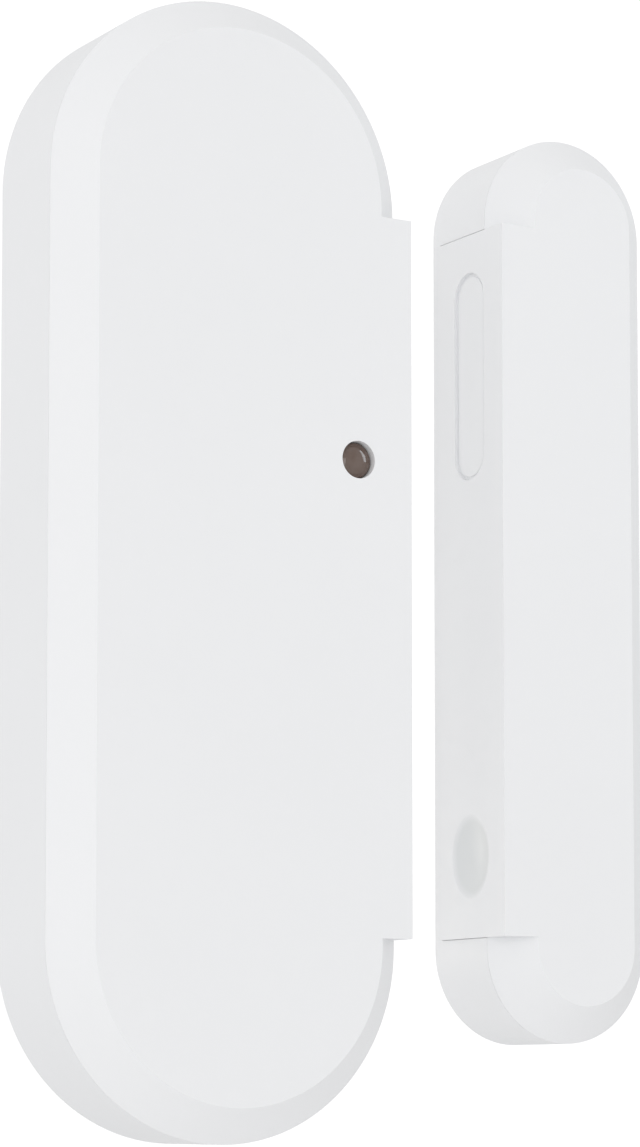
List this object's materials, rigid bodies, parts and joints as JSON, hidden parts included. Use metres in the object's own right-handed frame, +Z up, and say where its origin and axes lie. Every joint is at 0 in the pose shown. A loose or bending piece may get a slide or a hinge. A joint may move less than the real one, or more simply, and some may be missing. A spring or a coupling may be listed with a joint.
{
  "type": "door contact sensor",
  "caption": "Two-piece wireless door contact: long round-ended sensor housing with reed switch and status light, and a narrower magnet housing.",
  "frame": {"origin": "centre of the back face of the sensor's adhesive pad, on the wall plane", "axes": "+Z up along the housings' length, -Y out of the wall towards the viewer, +X from the sensor towards the magnet unit"},
  "size_m": [0.0596, 0.0128, 0.096],
  "materials": {
    "sensor_housing": "satin moulded ABS",
    "sensor_cover": "satin moulded ABS",
    "adhesive_foam": "white foam tape",
    "board": "green solder mask",
    "screw_steel": "zinc plated",
    "reed_glass": "clear, slightly green",
    "reed_alloy": "plated nickel iron",
    "lens": "water-clear epoxy",
    "tinned_steel": "tinned",
    "black_plastic": "matt",
    "cell_steel": "pressed stainless steel",
    "spring_steel": "nickel plated",
    "gold_contact": "gold flashed",
    "plunger_plastic": "satin acetal",
    "red_plastic": "satin",
    "chip_resin": "matt epoxy",
    "can_steel": "drawn can",
    "tantalum_resin": "moulded",
    "capacitor_ceramic": "fired ceramic",
    "resistor_glaze": "glazed",
    "copper_wire": "bright copper wire",
    "magnet_housing": "satin moulded ABS",
    "magnet_cover": "satin moulded ABS",
    "magnet_alloy": "nickel plated"
  },
  "bodies": {
    "sensor": {"sensor_base": "sensor_housing", "sensor_adhesive_pad": "adhesive_foam", "circuit_board": "board", "board_screws": "screw_steel", "reed_glass": "reed_glass", "reed_blades": "reed_alloy", "status_led_lens": "lens", "status_led_legs": "tinned_steel", "status_led_spacer": "black_plastic", "battery_tray": "black_plastic", "battery_strap": "spring_steel", "battery_negative_contact": "gold_contact", "tamper_switch_body": "black_plastic", "tamper_spring": "spring_steel", "pairing_button_body": "black_plastic", "controller_chip": "chip_resin", "controller_pins": "tinned_steel", "radio_chip": "chip_resin", "crystal_can": "can_steel", "buffer_capacitor": "tantalum_resin", "chip_capacitors": "capacitor_ceramic", "chip_resistors": "resistor_glaze", "aerial_coil": "copper_wire"},
    "sensor_cover": {"sensor_cover": "sensor_cover"},
    "battery_cell": {"battery_cell": "cell_steel"},
    "tamper_plunger": {"tamper_plunger": "plunger_plastic"},
    "pairing_button": {"pairing_button_cap": "red_plastic"},
    "magnet_unit": {"magnet_base": "magnet_housing", "bar_magnet": "magnet_alloy", "magnet_adhesive_pad": "adhesive_foam"},
    "magnet_cover": {"magnet_cover": "magnet_cover"}
  },
  "joints": [
    {"name": "door_travel", "type": "slide", "parent": "sensor", "child": "magnet_unit", "axis": [1, 0, 0], "range_m": [0, 0.04]},
    {"name": "sensor_cover_pull", "type": "slide", "parent": "sensor", "child": "sensor_cover", "axis": [0, -1, 0], "range_m": [0, 0.02]},
    {"name": "magnet_cover_pull", "type": "slide", "parent": "magnet_unit", "child": "magnet_cover", "axis": [0, -1, 0], "range_m": [0, 0.02]},
    {"name": "battery_slide", "type": "slide", "parent": "sensor", "child": "battery_cell", "axis": [0, 0, -1], "range_m": [0, 0.009]},
    {"name": "tamper_plunger_rise", "type": "slide", "parent": "sensor", "child": "tamper_plunger", "axis": [0, -1, 0], "range_m": [0, 0.0012], "deforming": ["tamper_spring"]},
    {"name": "pairing_button_press", "type": "slide", "parent": "sensor", "child": "pairing_button", "axis": [0, 1, 0], "range_m": [0, 0.00025], "stiffness_N_per_m": 300}
  ],
  "couplings": [
    {"joint": "tamper_plunger_rise", "follows": "sensor_cover_pull", "ratio": 0.06}
  ]
}
